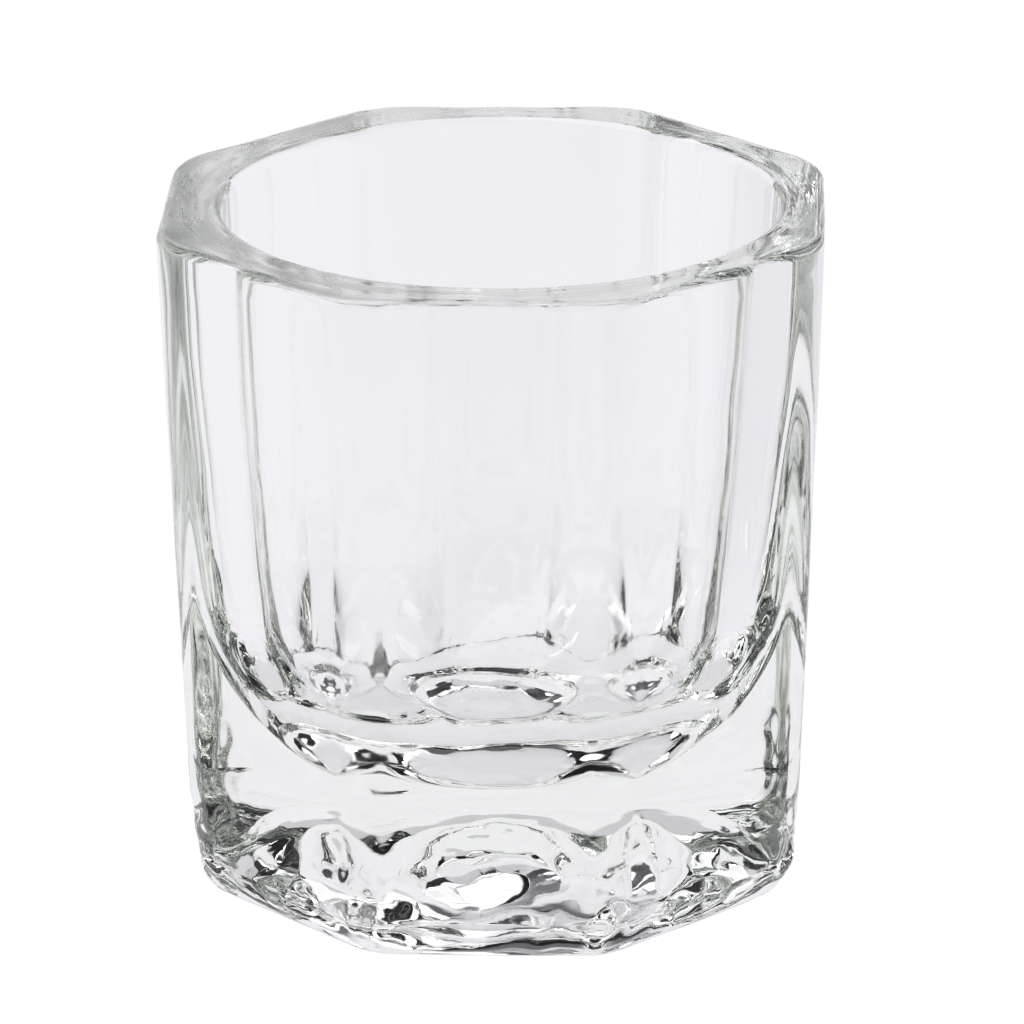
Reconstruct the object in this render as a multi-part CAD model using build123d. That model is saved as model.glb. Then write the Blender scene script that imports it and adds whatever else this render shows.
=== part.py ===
from build123d import *

import os
from math import cos, radians, sin

# Octagonal dappen dish of clear pressed glass: the small cup that holds the liquid or the
# powder while acrylic nails are built up. It is a single lump of glass, so it is one node.
# Eight flat facets stand outside and taper a little towards the base. A round well with a
# bowl-shaped bottom is pressed in from above, and a shallow dome from below, which leaves
# a ring to stand on.
#
# Millimetres, +Z up. The origin is on the dish's axis, in the plane that the dish stands
# on, and one facet faces -Y squarely.

# The outside
HEIGHT = 30.0
SIDES = 8
RIM_ACROSS_FLATS = 28.2
BASE_ACROSS_FLATS = 26.1
RIM_CORNER_RADIUS = 4.0      # the upright edges between facets, at the rim
BASE_CORNER_RADIUS = 2.4     # the same edges, at the base
RIM_EDGE_RADIUS = 0.5        # where the facets turn into the flat rim
BASE_EDGE_RADIUS = 2.0       # where the facets turn under

# The well
MOUTH_DIAMETER = 23.6        # just under the rounded lip
MOUTH_DRAFT = 2.5            # degrees that the wall leans outwards at the mouth
WALL_DRAFT = 7.5             # degrees that it leans outwards where it meets the bowl
WELL_FLOOR = 6.0             # height of the well's floor above the foot
BOWL_RADIUS = 8.5            # between the floor and the wall
LIP_RADIUS = 0.45

# The dome under the base
DOME_RADIUS = 14.0
DOME_HEIGHT = 3.7
DOME_EDGE_RADIUS = 1.5       # where the dome meets the foot ring

CLEARANCE = 1.0              # how far a cutting shape runs past the glass


def rounded_octagon(across_flats, corner_radius, height):
    """A face of the outside at one height, with a flat side towards -Y."""
    half_turn_of_a_side = 180 / SIDES
    octagon = RegularPolygon(across_flats / 2, SIDES, major_radius=False, rotation=half_turn_of_a_side)
    return Pos(0, 0, height) * fillet(octagon.vertices(), corner_radius)


def outside():
    """The tapered octagonal block, rounded all round at its base and its rim."""
    base = rounded_octagon(BASE_ACROSS_FLATS, BASE_CORNER_RADIUS, 0)
    rim = rounded_octagon(RIM_ACROSS_FLATS, RIM_CORNER_RADIUS, HEIGHT)
    block = loft([base, rim], ruled=True)
    block = fillet(block.faces().sort_by(Axis.Z)[0].edges(), BASE_EDGE_RADIUS)
    return fillet(block.faces().sort_by(Axis.Z)[-1].edges(), RIM_EDGE_RADIUS)


def well():
    """The space in the dish: a floor, a bowl, a wall that steepens upwards, and the lip."""
    mouth_lean = radians(MOUTH_DRAFT)
    wall_lean = radians(WALL_DRAFT)
    wall_top = HEIGHT - LIP_RADIUS * (1 - sin(mouth_lean))
    wall_foot = WELL_FLOOR + BOWL_RADIUS * (1 - sin(wall_lean))
    wall_curve = (wall_top - wall_foot) / (sin(wall_lean) - sin(mouth_lean))
    wall_foot_radius = MOUTH_DIAMETER / 2 - wall_curve * (cos(mouth_lean) - cos(wall_lean))
    floor_radius = wall_foot_radius - BOWL_RADIUS * cos(wall_lean)
    with BuildSketch(Plane.XZ) as profile:
        with BuildLine():
            floor = Line((0, WELL_FLOOR), (floor_radius, WELL_FLOOR))
            bowl = JernArc(floor @ 1, floor % 1, BOWL_RADIUS, 90 - WALL_DRAFT)
            wall = JernArc(bowl @ 1, bowl % 1, wall_curve, WALL_DRAFT - MOUTH_DRAFT)
            lip = JernArc(wall @ 1, wall % 1, LIP_RADIUS, MOUTH_DRAFT - 90)
            Polyline(lip @ 1, lip @ 1 + (0, CLEARANCE), (0, HEIGHT + CLEARANCE), floor @ 0)
        make_face()
    return revolve(profile.sketch, Axis.Z)


def underside_dome():
    """The ball that presses the dome into the underside."""
    return Pos(0, 0, DOME_HEIGHT - DOME_RADIUS) * Sphere(DOME_RADIUS)


def dish():
    """The finished glass."""
    glass = outside() - well() - underside_dome()
    foot = glass.faces().sort_by(Axis.Z)[0]
    dome_edge = foot.inner_wires()[0].edges()
    return fillet(dome_edge, DOME_EDGE_RADIUS)


os.makedirs("parts", exist_ok=True)
export_step(dish(), "parts/glass_dish.step")
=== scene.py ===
from math import cos, pi, radians, sin, sqrt, tan

import bpy
import numpy as np
from mathutils import Matrix, Vector, noise


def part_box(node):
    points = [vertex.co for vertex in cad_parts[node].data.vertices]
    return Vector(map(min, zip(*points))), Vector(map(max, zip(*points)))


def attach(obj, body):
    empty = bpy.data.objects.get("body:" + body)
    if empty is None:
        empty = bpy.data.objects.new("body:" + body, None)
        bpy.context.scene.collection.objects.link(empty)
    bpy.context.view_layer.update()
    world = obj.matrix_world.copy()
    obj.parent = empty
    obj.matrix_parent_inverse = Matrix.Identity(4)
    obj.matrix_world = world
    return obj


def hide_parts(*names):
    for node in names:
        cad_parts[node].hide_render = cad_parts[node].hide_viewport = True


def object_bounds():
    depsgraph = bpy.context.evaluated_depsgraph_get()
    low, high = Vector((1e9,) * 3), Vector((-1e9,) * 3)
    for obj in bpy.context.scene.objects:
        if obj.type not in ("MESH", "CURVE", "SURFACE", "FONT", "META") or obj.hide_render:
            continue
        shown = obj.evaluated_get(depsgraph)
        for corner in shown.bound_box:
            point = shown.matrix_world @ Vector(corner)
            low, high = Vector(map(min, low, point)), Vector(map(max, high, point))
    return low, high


# The looks of a small octagonal dappen dish of clear pressed glass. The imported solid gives
# the frame. The glass that is shown is a finer skin of the same solid, with the slight waves
# that pressing and fire polishing leave, because clear glass shows its shape only by how it
# bends light. Lengths are in metres.

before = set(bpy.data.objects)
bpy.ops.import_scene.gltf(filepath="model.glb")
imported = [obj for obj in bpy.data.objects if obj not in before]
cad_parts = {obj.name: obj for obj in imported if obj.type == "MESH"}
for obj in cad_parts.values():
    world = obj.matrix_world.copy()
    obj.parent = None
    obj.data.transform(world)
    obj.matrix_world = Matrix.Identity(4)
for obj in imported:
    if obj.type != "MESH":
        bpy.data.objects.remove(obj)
cad_low, cad_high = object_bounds()

MM = 0.001
NODE = "glass_dish"
node_low, node_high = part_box(NODE)

# ---------------------------------------------------------------------------------------
# Driving dimensions
# ---------------------------------------------------------------------------------------

SIDES = 8
SKIN_INSET = 0.03 * MM             # room for the waves inside the solid's box
HEIGHT = node_high[2] - node_low[2]
RIM_APOTHEM = (node_high[0] - node_low[0]) / 2 - SKIN_INSET
TAPER = 1.03 * MM                  # how much nearer the axis a facet is at the base
BASE_APOTHEM = RIM_APOTHEM - TAPER
RIM_CORNER = 4.0 * MM              # rounding of the upright edges, at the rim
BASE_CORNER = 2.4 * MM             # and at the base
RIM_EDGE = 0.5 * MM                # rounding from the facets onto the flat rim
BASE_EDGE = 2.0 * MM               # rounding from the facets onto the foot

MOUTH_RADIUS = 11.8 * MM
MOUTH_DRAFT = radians(2.5)         # lean of the well's wall at its mouth
WALL_DRAFT = radians(7.5)          # and where it meets the bowl
WELL_FLOOR = 6.0 * MM
BOWL_RADIUS = 8.5 * MM
LIP = 0.45 * MM

MOUTH_SHIFT = 0.3 * MM             # the well leans a little: how far towards +X the middle of
FLOOR_SHIFT = -0.15 * MM           # its mouth is, and of its floor

DOME_RADIUS = 14.0 * MM            # the dome pressed up into the underside
DOME_HEIGHT = 3.7 * MM
DOME_EDGE = 1.5 * MM

# ---------------------------------------------------------------------------------------
# Small helpers
# ---------------------------------------------------------------------------------------


def bend(centre_r, centre_z, radius, start, end, steps):
    """Points of an arc in the radius-height plane, without its first point. Radians."""
    turns = np.linspace(start, end, steps + 1)[1:]
    return [(centre_r + radius * cos(t), centre_z + radius * sin(t)) for t in turns]


def run(start, end, steps):
    """Points of a straight run in the radius-height plane, without its first point."""
    share = np.linspace(0, 1, steps + 1)[1:]
    return [(start[0] + (end[0] - start[0]) * s, start[1] + (end[1] - start[1]) * s) for s in share]


# ---------------------------------------------------------------------------------------
# The skin: rings of points from the middle of the well's floor, up the wall, over the rim,
# down the facets and under the foot to the middle of the dome
# ---------------------------------------------------------------------------------------

SEGMENTS_PER_SIDE = 46
CORNER_CROWDING = 0.55             # draws the points of a ring towards the rounded corners

# How many rings each stretch of the outline has
FLOOR_RINGS = 8
BOWL_RINGS = 40
WALL_RINGS = 32
LIP_RINGS = 8
RIM_RINGS = 8
RIM_EDGE_RINGS = 8
FACET_RINGS = 64
BASE_EDGE_RINGS = 12
FOOT_RINGS = 5
DOME_EDGE_RINGS = 10
DOME_RINGS = 44


def ring_angles():
    """Angles round the dish, closer together at the corners than in mid-facet."""
    half_side = pi / SIDES
    u = np.arange(SEGMENTS_PER_SIDE) / SEGMENTS_PER_SIDE * 2 - 1
    local = half_side * (u + CORNER_CROWDING * np.sin(pi * u) / pi)
    middles = np.arange(SIDES) * 2 * half_side - pi / 2
    return (middles[:, None] + local[None, :]).ravel()


ANGLES = ring_angles()


def octagon(apothem, corner):
    """Radius at each of ANGLES of an octagon with rounded corners and a side towards -Y."""
    half_side = pi / SIDES
    off_middle = np.abs((ANGLES + pi / 2 + half_side) % (2 * half_side) - half_side)
    flat_end = np.arctan2((apothem - corner) * tan(half_side), apothem)
    on_flat = apothem / np.cos(off_middle)
    centre = (apothem - corner) / cos(half_side)
    off_corner = half_side - off_middle
    reach = np.maximum(corner**2 - (centre * np.sin(off_corner)) ** 2, 0)
    on_corner = centre * np.cos(off_corner) + np.sqrt(reach)
    return np.where(off_middle <= flat_end, on_flat, on_corner)


def ring(radius, height):
    """One ring of points. The radius is one number or one for each angle."""
    radius = np.broadcast_to(radius, ANGLES.shape)
    return np.stack([radius * np.cos(ANGLES), radius * np.sin(ANGLES), np.full_like(ANGLES, height)], 1)


def well_shift(height):
    """How far the middle of the well is off the dish's axis at a height."""
    share = (height - WELL_FLOOR) / (HEIGHT - WELL_FLOOR)
    return np.array((FLOOR_SHIFT + (MOUTH_SHIFT - FLOOR_SHIFT) * share, 0, 0))


def well_rings():
    """Floor, bowl, leaning wall and the inner half of the lip."""
    wall_top = HEIGHT - LIP * (1 - sin(MOUTH_DRAFT))
    wall_foot = WELL_FLOOR + BOWL_RADIUS * (1 - sin(WALL_DRAFT))
    wall_curve = (wall_top - wall_foot) / (sin(WALL_DRAFT) - sin(MOUTH_DRAFT))
    wall_r = MOUTH_RADIUS - wall_curve * cos(MOUTH_DRAFT)
    wall_z = wall_top + wall_curve * sin(MOUTH_DRAFT)
    floor_edge = wall_r + (wall_curve - BOWL_RADIUS) * cos(WALL_DRAFT)
    bowl_z = WELL_FLOOR + BOWL_RADIUS
    lip_r = MOUTH_RADIUS + LIP * cos(MOUTH_DRAFT)
    points = run((0, WELL_FLOOR), (floor_edge, WELL_FLOOR), FLOOR_RINGS)
    points += bend(floor_edge, bowl_z, BOWL_RADIUS, -pi / 2, -WALL_DRAFT, BOWL_RINGS)
    points += bend(wall_r, wall_z, wall_curve, -WALL_DRAFT, -MOUTH_DRAFT, WALL_RINGS)
    points += bend(lip_r, HEIGHT - LIP, LIP, pi - MOUTH_DRAFT, pi / 2, LIP_RINGS)
    return [ring(r, z) + well_shift(z) for r, z in points]


def rim_rings():
    """The flat rim, from the round mouth out to the octagon."""
    inner = MOUTH_RADIUS + LIP
    outer = octagon(RIM_APOTHEM - RIM_EDGE, RIM_CORNER - RIM_EDGE)
    shares = np.linspace(0, 1, RIM_RINGS + 1)[1:]
    mouth = ring(inner, HEIGHT) + well_shift(HEIGHT)
    return [mouth + (ring(outer, HEIGHT) - mouth) * s for s in shares]


def facet_rings():
    """Over the rim's outer edge, down the facets and under the base's edge."""
    rings = []
    for t in np.linspace(pi / 2, 0, RIM_EDGE_RINGS + 1)[1:]:
        inset = RIM_EDGE * (1 - cos(t))
        height = HEIGHT - RIM_EDGE * (1 - sin(t))
        rings.append(ring(octagon(RIM_APOTHEM - inset, RIM_CORNER - inset), height))
    top = HEIGHT - RIM_EDGE
    for s in 1 - np.linspace(1, 0, FACET_RINGS + 1)[1:] ** 2:
        apothem = RIM_APOTHEM + (BASE_APOTHEM - RIM_APOTHEM) * s
        corner = RIM_CORNER + (BASE_CORNER - RIM_CORNER) * s
        rings.append(ring(octagon(apothem, corner), top + (BASE_EDGE - top) * s))
    for t in np.linspace(0, pi / 2, BASE_EDGE_RINGS + 1)[1:]:
        inset = BASE_EDGE * (1 - cos(t))
        height = BASE_EDGE * (1 - sin(t))
        rings.append(ring(octagon(BASE_APOTHEM - inset, BASE_CORNER - inset), height))
    return rings


def underside_rings():
    """The foot ring, the rounded edge of the dome and the dome."""
    ball = DOME_HEIGHT - DOME_RADIUS
    edge_r = sqrt((DOME_RADIUS + DOME_EDGE) ** 2 - (DOME_EDGE - ball) ** 2)
    foot = octagon(BASE_APOTHEM - BASE_EDGE, BASE_CORNER - BASE_EDGE)
    rings = [ring(foot + (edge_r - foot) * s, 0) for s in np.linspace(0, 1, FOOT_RINGS + 1)[1:]]
    lean = np.arctan2(edge_r, DOME_EDGE - ball)
    points = bend(edge_r, DOME_EDGE, DOME_EDGE, -pi / 2, -pi / 2 - lean, DOME_EDGE_RINGS)
    points += bend(0, ball, DOME_RADIUS, pi / 2 - lean, pi / 2, DOME_RINGS)[:-1]
    return rings + [ring(r, z) for r, z in points]


# The waves of pressed glass. Each part has a list of heights above the foot, and at those
# heights the depth of its broad waves, of its fine waves and of the extra fine waves along its
# upright edges, all in millimetres.
BROAD = 3.4 * MM                   # length of the broad waves
FINE = 1.1 * MM                    # and of the fine ones
BROAD_SEED = 8.8                   # where along X in the noise each kind is taken
FINE_SEED = 71.4
NOISE_PLACE = (5.3, 2.9)           # and along Y and Z, for both
BLUR_RINGS = 7                     # the rings over which the depths are evened out
WELL_WAVES = ([6, 9, 14, 30], [0.22, 0.16, 0.06, 0.05], [0.04, 0.03, 0.006, 0.004], [0, 0, 0, 0])
RIM_WAVES = ([29, 30], [0.12, 0.12], [0.04, 0.04], [0, 0])
FACET_WAVES = (
    [0, 1.6, 3, 4.0, 5.2, 9, 27, 30],
    [0.05, 0.20, 0.12, 0.05, 0.05, 0.05, 0.05, 0.12],
    [0.01, 0.08, 0.05, 0.006, 0.004, 0.003, 0.002, 0.02],
    [0.04, 0.36, 0.36, 0.30, 0.04, 0.01, 0.01, 0.04],
)
UNDERSIDE_WAVES = (
    [0, 0.6, 1.5, 3.7],
    [0.02, 0.22, 0.36, 0.40],
    [0.01, 0.07, 0.07, 0.05],
    [0, 0, 0, 0],
)
EDGE_SPREAD = radians(5)           # how far round from an upright edge its extra waves reach
NEVER_ZERO = 1e-12


def wave_depths(rings, waves):
    """The three depths of one part's waves, for each of its rings."""
    heights = [points[:, 2].mean() / MM for points in rings]
    return np.stack([np.interp(heights, waves[0], depths) for depths in waves[1:]], 1) * MM


def noise_field(points, length, seed):
    """Smooth repeatable noise from 0 to 1 at each point."""
    start = Vector((seed, *NOISE_PLACE))
    values = [noise.noise(Vector(point) / length + start) for point in points.reshape(-1, 3)]
    return 0.5 - 0.5 * np.array(values).reshape(points.shape[:2])


def pressed(rings, depths):
    """Sinks the points into the glass by the waves. Nothing moves outwards."""
    around = np.roll(rings, -1, axis=1) - np.roll(rings, 1, axis=1)
    along = np.gradient(rings, axis=0)
    outward = np.cross(along, around)
    outward /= np.linalg.norm(outward, axis=2, keepdims=True) + NEVER_ZERO
    margin = BLUR_RINGS // 2
    padded = np.pad(depths, ((margin, margin), (0, 0)), mode="edge")
    even = np.ones(BLUR_RINGS) / BLUR_RINGS
    broad, fine, edge = (np.convolve(column, even, "valid")[:, None] for column in padded.T)
    half_side = pi / SIDES
    off_edge = np.abs((ANGLES + pi / 2) % (2 * half_side) - half_side)
    fine = fine + edge * np.exp(-(off_edge / EDGE_SPREAD) ** 2)
    sink = broad * noise_field(rings, BROAD, BROAD_SEED) + fine * noise_field(rings, FINE, FINE_SEED)
    return rings - outward * sink[:, :, None]


def skin_mesh():
    """Joins the rings into one closed mesh, with a point at each end."""
    parts = (
        (well_rings(), WELL_WAVES),
        (rim_rings(), RIM_WAVES),
        (facet_rings(), FACET_WAVES),
        (underside_rings(), UNDERSIDE_WAVES),
    )
    rings = np.concatenate([rings for rings, _ in parts])
    rings = pressed(rings, np.concatenate([wave_depths(*part) for part in parts]))
    count, around = rings.shape[:2]
    ends = np.array([rings[0].mean(axis=0), rings[-1].mean(axis=0)])
    points = np.concatenate([rings.reshape(-1, 3), ends])
    floor_middle = count * around
    dome_middle = floor_middle + 1
    faces = []
    for j in range(around):
        k = (j + 1) % around
        faces.append((floor_middle, j, k))
        faces.append((dome_middle, (count - 1) * around + k, (count - 1) * around + j))
        for i in range(count - 1):
            faces.append((i * around + k, i * around + j, (i + 1) * around + j, (i + 1) * around + k))
    mesh = bpy.data.meshes.new("dish_glass")
    mesh.from_pydata(points.tolist(), [], faces)
    mesh.polygons.foreach_set("use_smooth", [True] * len(mesh.polygons))
    mesh.update()
    return mesh


# ---------------------------------------------------------------------------------------
# Glass
# ---------------------------------------------------------------------------------------


class NodeKit:
    """Short forms for wiring number nodes in one tree."""

    def __init__(self, tree):
        self.tree = tree

    def node(self, kind, *values, **settings):
        made = self.tree.nodes.new(kind)
        for name, value in settings.items():
            setattr(made, name, value)
        for socket, value in zip(made.inputs, values):
            if isinstance(value, bpy.types.NodeSocket):
                self.tree.links.new(value, socket)
            elif value is not None:
                socket.default_value = value
        return made

    def math(self, operation, *values):
        return self.node("ShaderNodeMath", *values, operation=operation).outputs[0]

    def fade(self, value, low, high, at_low, at_high):
        """Goes smoothly from at_low to at_high while value goes from low to high."""
        kind = "ShaderNodeMapRange"
        values = value, low, high, at_low, at_high
        return self.node(kind, *values, interpolation_type="SMOOTHSTEP").outputs[0]

    def radius(self, x, y):
        """Distance from the dish's axis."""
        squares = self.math("ADD", self.math("MULTIPLY", x, x), self.math("MULTIPLY", y, y))
        return self.math("SQRT", squares)

    def white_to_camera(self, light):
        """The light that the glass gets, and plain white where the camera looks straight at it."""
        seen = self.node("ShaderNodeLightPath").outputs["Is Camera Ray"]
        return self.node("ShaderNodeMix", seen, None, light, SEEN_WHITE, data_type="FLOAT").outputs[0]


GLASS_ROUGH = 0.02
GLASS_IOR = 1.52
GLASS_TINT = (0.935, 0.965, 0.915, 1)
TINT_DENSITY = 30.0                # per metre of glass

STREAKS_ACROSS = 1500              # noise cells of the rim's streaks, per metre of radius
STREAKS_ROUND = 2.0                # and per radian round the rim
STREAK_DETAIL = 3.0
STREAK_RANGE = (0.35, 0.65)        # the noise's values from a clear streak to a dull one
STREAK_DEPTH = 0.05 * MM
RIM_TOP = (HEIGHT - 0.32 * MM, HEIGHT - 0.14 * MM)  # over which the rim's streaks begin
RIM_ROUGH = (0.10, 0.36)           # of the clearest and of the dullest streaks
RIM_TURN_GLOSSY = (-4 * MM, 10 * MM)  # along X, over which the rim's roughness fades
RIM_GLOSSY_SHARE = 0.25            # what is left of that roughness past it

EDGE_ROUGH = 0.05                  # more roughness along the upright edges
EDGE_BAND = (-0.55, -0.9)          # cosine of SIDES times the turn, from beside an edge to on it
EDGE_RADII = (12.4 * MM, 12.8 * MM)  # out from the axis, over which that roughness begins

GRAIN_FINENESS = 800.0             # noise cells per metre
GRAIN_DETAIL = 2.0
GRAIN_ROUGH = 0.5
GRAIN_DEPTH = 0.012 * MM
GRAIN_TOP = (3.5 * MM, 7.0 * MM)   # the grain near the foot ends between these heights


def glass_material():
    """Clear soda-lime glass with a faint green-grey tint in its thickness."""
    material = bpy.data.materials.new("clear_glass")
    material.use_nodes = True
    tree = material.node_tree
    shader = tree.nodes["Principled BSDF"]
    kit = NodeKit(tree)
    place = kit.node("ShaderNodeTexCoord").outputs["Object"]
    x, y, z = kit.node("ShaderNodeSeparateXYZ", place).outputs
    radius = kit.radius(x, y)
    turn = kit.math("ARCTAN2", y, x)
    across = kit.math("MULTIPLY", radius, STREAKS_ACROSS)
    along = kit.math("MULTIPLY", turn, STREAKS_ROUND)
    polar = kit.node("ShaderNodeCombineXYZ", across, along, 0).outputs[0]
    streaks = kit.node("ShaderNodeTexNoise", polar, None, 1.0, STREAK_DETAIL).outputs["Fac"]
    on_rim = kit.fade(z, *RIM_TOP, 0.0, 1.0)
    dullness = kit.fade(streaks, *STREAK_RANGE, *RIM_ROUGH)
    rim_rough = kit.math("MULTIPLY", dullness, kit.fade(x, *RIM_TURN_GLOSSY, 1.0, RIM_GLOSSY_SHARE))
    side_cosine = kit.math("COSINE", kit.math("MULTIPLY", turn, SIDES))
    upright_edge = kit.fade(side_cosine, *EDGE_BAND, 0.0, 1.0)
    edge_rough = kit.math("MULTIPLY", upright_edge, kit.fade(radius, *EDGE_RADII, 0.0, EDGE_ROUGH))
    rough = kit.math("ADD", GLASS_ROUGH, kit.math("MULTIPLY", on_rim, rim_rough))
    rough = kit.math("ADD", rough, edge_rough)
    tree.links.new(rough, shader.inputs["Roughness"])
    grain_values = place, None, GRAIN_FINENESS, GRAIN_DETAIL, GRAIN_ROUGH
    grain = kit.node("ShaderNodeTexNoise", *grain_values).outputs["Fac"]
    near_foot = kit.fade(z, *GRAIN_TOP, 1.0, 0.0)
    bump = kit.node("ShaderNodeBump", near_foot, GRAIN_DEPTH, None, grain).outputs["Normal"]
    bump = kit.node("ShaderNodeBump", on_rim, STREAK_DEPTH, None, streaks, bump).outputs["Normal"]
    tree.links.new(bump, shader.inputs["Normal"])
    shader.inputs["Base Color"].default_value = (1, 1, 1, 1)
    shader.inputs["IOR"].default_value = GLASS_IOR
    shader.inputs["Transmission Weight"].default_value = 1.0
    absorb = tree.nodes.new("ShaderNodeVolumeAbsorption")
    absorb.inputs["Color"].default_value = GLASS_TINT
    absorb.inputs["Density"].default_value = TINT_DENSITY
    tree.links.new(absorb.outputs["Volume"], tree.nodes["Material Output"].inputs["Volume"])
    return material


# ---------------------------------------------------------------------------------------
# Stage, light and camera
# ---------------------------------------------------------------------------------------

SEEN_WHITE = 1.06                  # what the camera sees directly
THROUGH_GLASS = 0.925              # what the glass sees of the floor and the backdrop
LIGHT_COLOUR = (0.968, 0.950, 1.0, 1)  # very slightly violet
HORIZON_TOP = (22, 28)             # degrees up, over which the backdrop ends
CAMERA_SIDE = 0.18                 # the backdrop's share of light towards the camera
CAMERA_SIDE_TURN = (80, 120)       # degrees off +Y, over which it falls to that
TABLE_HALF = 4.0
TABLE_GAP = 0.02 * MM              # keeps the table clear of the foot
FRONT_PAINTED_SHADE = 0.42              # painted shade: the table's glow towards the camera
FRONT_FADE = (-80 * MM, -14 * MM)  # along Y, from that light to the full light
RIGHT_PAINTED_SHADE = 0.90              # painted shade: the share of its glow that the table has far to the right
RIGHT_FADE = (8 * MM, 45 * MM)     # along X, from the full light to that share
PAINTED_SHADOW_UNDER_DISH = 0.82                  # painted shadow: the share of its glow that the table has under the dish
UNDER_FADE = (8 * MM, 17 * MM)     # out from the axis, from that share to the full light
SOFTBOXES = [                      # degrees up, degrees clockwise from +Y, half-width, blur, light
    (72, -60, 29, 2, 1.3),
    (35, 0, 20, 2, 0.66),
    (40, -100, 24, 3, 1.1),
    (42, -72, 6, 1, 7.0),
    (35, 60, 8, 2, 2.0),
]


def world_light():
    """A pale backdrop, darker behind the camera, with softboxes above it in the dark."""
    world = bpy.data.worlds.new("studio")
    bpy.context.scene.world = world
    world.use_nodes = True
    kit = NodeKit(world.node_tree)
    direction = kit.node("ShaderNodeTexCoord").outputs["Generated"]
    x, y, z = kit.node("ShaderNodeSeparateXYZ", direction).outputs
    up = kit.math("MULTIPLY", kit.math("ARCSINE", z), 180 / pi)
    off_back = kit.math("ABSOLUTE", kit.math("MULTIPLY", kit.math("ARCTAN2", x, y), 180 / pi))
    backdrop = kit.fade(up, *HORIZON_TOP, THROUGH_GLASS, 0.0)
    light = kit.math("MULTIPLY", backdrop, kit.fade(off_back, *CAMERA_SIDE_TURN, 1.0, CAMERA_SIDE))
    for box_up, box_side, half, blur, strength in SOFTBOXES:
        e, a = radians(box_up), radians(box_side)
        towards = (sin(a) * cos(e), cos(a) * cos(e), sin(e))
        parts = [kit.math("MULTIPLY", part, share) for part, share in zip((x, y, z), towards)]
        facing = kit.math("ADD", kit.math("ADD", parts[0], parts[1]), parts[2])
        edge = cos(radians(half + blur)), cos(radians(half - blur))
        light = kit.math("MAXIMUM", light, kit.fade(facing, *edge, 0.0, strength))
    background = world.node_tree.nodes["Background"]
    background.inputs["Color"].default_value = LIGHT_COLOUR
    world.node_tree.links.new(kit.white_to_camera(light), background.inputs["Strength"])


def floor():
    """A wide table top that is no lamp yet glows: black, with painted light as its emission, pale where
    the camera sees it, with painted shade towards the camera and to the right and a painted shadow
    under the dish.
    """
    mesh = bpy.data.meshes.new("table_top")
    height = cad_low[2] - TABLE_GAP
    signs = ((-1, -1), (1, -1), (1, 1), (-1, 1))
    corners = [(x * TABLE_HALF, y * TABLE_HALF, height) for x, y in signs]
    mesh.from_pydata(corners, [], [(0, 1, 2, 3)])
    table = bpy.data.objects.new("table_top", mesh)
    bpy.context.scene.collection.objects.link(table)
    material = bpy.data.materials.new("glowing_painted_shade_table")
    material.use_nodes = True
    tree = material.node_tree
    shader = tree.nodes["Principled BSDF"]
    # Black and glowing: the table's brightness is painted light in its emission, so it takes no real
    # shadow from the dish.
    shader.inputs["Base Color"].default_value = (0, 0, 0, 1)
    shader.inputs["Roughness"].default_value = 1.0
    shader.inputs["Specular IOR Level"].default_value = 0.0
    shader.inputs["Emission Color"].default_value = LIGHT_COLOUR
    kit = NodeKit(tree)
    place = kit.node("ShaderNodeTexCoord").outputs["Object"]
    x, y, _ = kit.node("ShaderNodeSeparateXYZ", place).outputs
    # Painted shade: the table's glow dims towards the camera.
    light = kit.fade(y, *FRONT_FADE, FRONT_PAINTED_SHADE, THROUGH_GLASS)
    # Painted shade: the table's glow dims far to the right.
    light = kit.math("MULTIPLY", light, kit.fade(x, *RIGHT_FADE, 1.0, RIGHT_PAINTED_SHADE))
    # Painted shadow: the table's glow dims under the dish.
    light = kit.math("MULTIPLY", light, kit.fade(kit.radius(x, y), *UNDER_FADE, PAINTED_SHADOW_UNDER_DISH, 1.0))
    tree.links.new(kit.white_to_camera(light), shader.inputs["Emission Strength"])
    mesh.materials.append(material)


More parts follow.
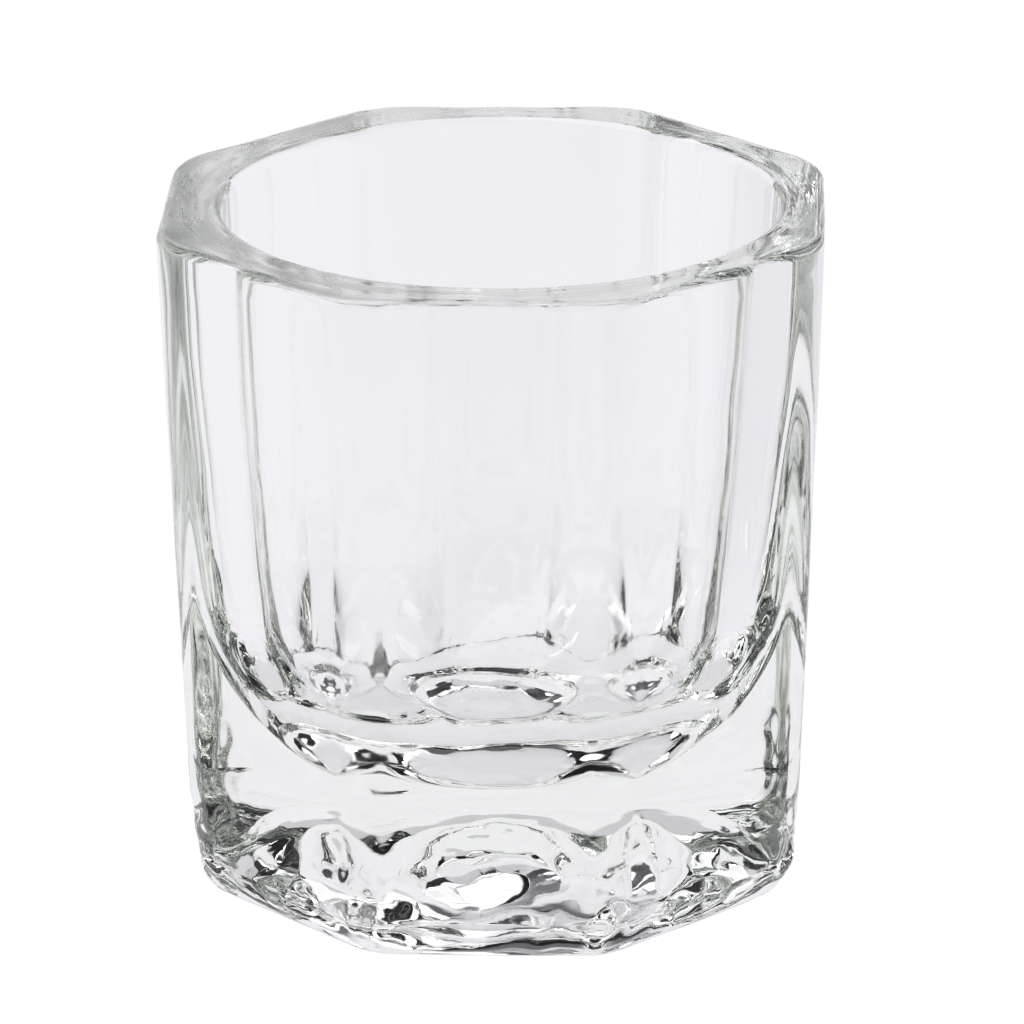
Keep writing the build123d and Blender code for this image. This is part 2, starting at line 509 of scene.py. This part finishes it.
CAMERA_AWAY = 310.95 * MM
CAMERA_UP = radians(19.94)
CAMERA_SIDEWAYS = radians(2.29)    # round to the right of straight in front
CAMERA_ROLL = radians(-0.37)
AIM_RIGHT = 0.675 * MM
AIM_HEIGHT = 15.84 * MM
LENS = 254.1                       # millimetres
SENSOR = 36                        # millimetres wide


def camera():
    """A long lens a little above the dish, with one facet nearly square to it."""
    data = bpy.data.cameras.new("camera")
    data.sensor_width = SENSOR
    data.lens = LENS
    data.clip_start = 0.01
    data.clip_end = 50
    view = bpy.data.objects.new("camera", data)
    bpy.context.scene.collection.objects.link(view)
    around = Matrix.Rotation(CAMERA_SIDEWAYS, 4, "Z")
    aim = around @ Vector((AIM_RIGHT, 0, AIM_HEIGHT))
    height = AIM_HEIGHT + CAMERA_AWAY * sin(CAMERA_UP)
    stand = around @ Vector((0, -CAMERA_AWAY * cos(CAMERA_UP), height))
    turn = (aim - stand).to_track_quat("-Z", "Y").to_matrix().to_4x4()
    view.matrix_world = Matrix.Translation(stand) @ turn @ Matrix.Rotation(CAMERA_ROLL, 4, "Z")
    bpy.context.scene.camera = view


TONE_CURVE = ((0.10, 0.04), (0.25, 0.17), (0.45, 0.41), (0.85, 0.86))
COMBINED = 3                       # the curve that acts on all three colours


def tone():
    """A plain view of the light, with a curve that deepens its darks."""
    view = bpy.context.scene.view_settings
    view.view_transform = "Standard"
    view.use_curve_mapping = True
    curve = view.curve_mapping.curves[COMBINED]
    for light, shown in TONE_CURVE:
        curve.points.new(light, shown)
    view.curve_mapping.update()


# ---------------------------------------------------------------------------------------
# The scene
# ---------------------------------------------------------------------------------------

camera()
world_light()
floor()
tone()
THROUGH_BOUNCES = 24               # light crosses many surfaces in thick glass
GLOSSY_BOUNCES = 12
bpy.context.scene.cycles.max_bounces = THROUGH_BOUNCES
bpy.context.scene.cycles.transmission_bounces = THROUGH_BOUNCES
bpy.context.scene.cycles.glossy_bounces = GLOSSY_BOUNCES

dish = bpy.data.objects.new("dish_glass", skin_mesh())
bpy.context.scene.collection.objects.link(dish)
dish.data.materials.append(glass_material())
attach(dish, "root")
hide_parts(NODE)

bpy.context.view_layer.update()
